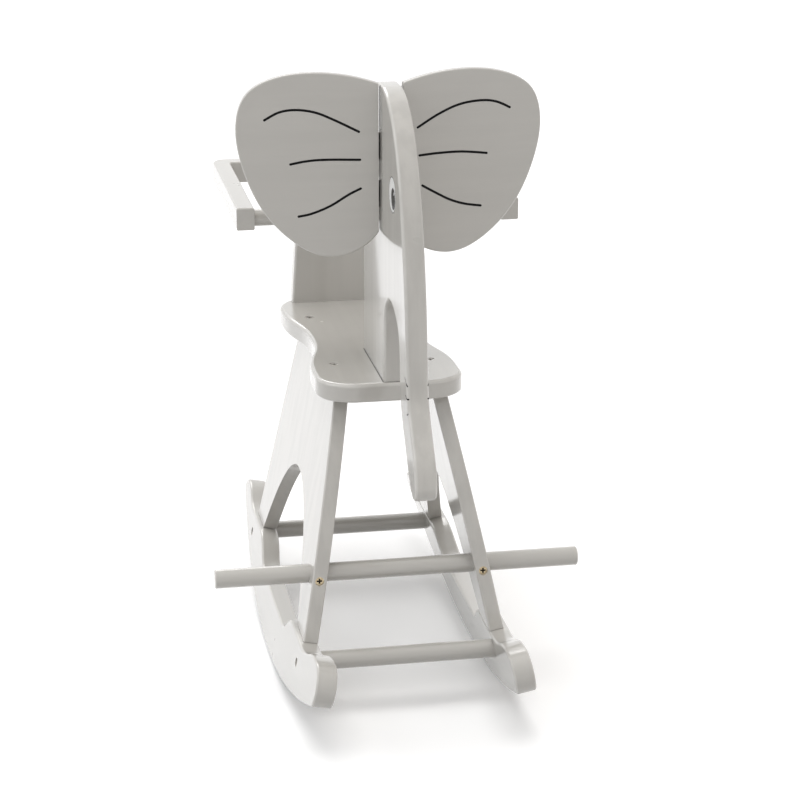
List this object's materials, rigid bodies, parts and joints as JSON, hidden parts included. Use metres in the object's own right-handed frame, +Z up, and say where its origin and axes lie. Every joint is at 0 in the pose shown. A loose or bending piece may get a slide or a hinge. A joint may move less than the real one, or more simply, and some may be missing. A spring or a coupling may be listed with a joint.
{
  "type": "rocking elephant",
  "caption": "Painted wooden rocking animal for a toddler: board head with trunk, two hinged ears, seat, backrest, guard ring with grip bar, footrest, legs on rockers.",
  "frame": {"origin": "on the floor under the object's middle: in the middle plane, halfway along the rockers", "axes": "+Z up, the trunk points along -Y, the rider faces -Y, +X is the object's right side seen from the front"},
  "size_m": [0.35, 0.5509, 0.5949],
  "materials": {
    "painted_board": "light warm grey semi-gloss paint",
    "painted_dowel": "light warm grey semi-gloss paint",
    "bare_dowel_pins": "bare beech",
    "zinc_steel": "zinc plated",
    "yellow_zinc_screws": "yellow zinc plated"
  },
  "bodies": {
    "frame": {"right_rocker": "painted_board", "left_rocker": "painted_board", "right_leg_panel": "painted_board", "left_leg_panel": "painted_board", "right_head_hinge_leaves": "zinc_steel", "left_head_hinge_leaves": "zinc_steel", "right_hinge_pins": "zinc_steel", "left_hinge_pins": "zinc_steel", "right_head_hinge_screws": "zinc_steel", "left_head_hinge_screws": "zinc_steel", "foot_pins": "bare_dowel_pins", "front_crossbar": "painted_dowel", "rear_crossbar": "painted_dowel", "crossbar_screws": "zinc_steel", "footrest_bar": "painted_dowel", "footrest_screws": "yellow_zinc_screws", "seat_board": "painted_board", "seat_screws": "zinc_steel", "neck_screws": "zinc_steel", "backrest_board": "painted_board", "backrest_screws": "zinc_steel", "guard_ring": "painted_board", "ring_screws": "zinc_steel", "handle_bar": "painted_dowel", "head_panel": "painted_board"},
    "right_ear": {"right_ear_board": "painted_board", "right_ear_hinge_leaves": "zinc_steel", "right_ear_hinge_screws": "zinc_steel"},
    "left_ear": {"left_ear_board": "painted_board", "left_ear_hinge_leaves": "zinc_steel", "left_ear_hinge_screws": "zinc_steel"}
  },
  "joints": [
    {"name": "right_ear_hinge", "type": "hinge", "parent": "frame", "child": "right_ear", "pos_m": [0.0125, -0.085, 0.50215], "axis": [0, 0, 1], "range_deg": [-8, 28]},
    {"name": "left_ear_hinge", "type": "hinge", "parent": "frame", "child": "left_ear", "pos_m": [-0.0125, -0.085, 0.50215], "axis": [0, 0, 1], "range_deg": [-28, 8]}
  ]
}
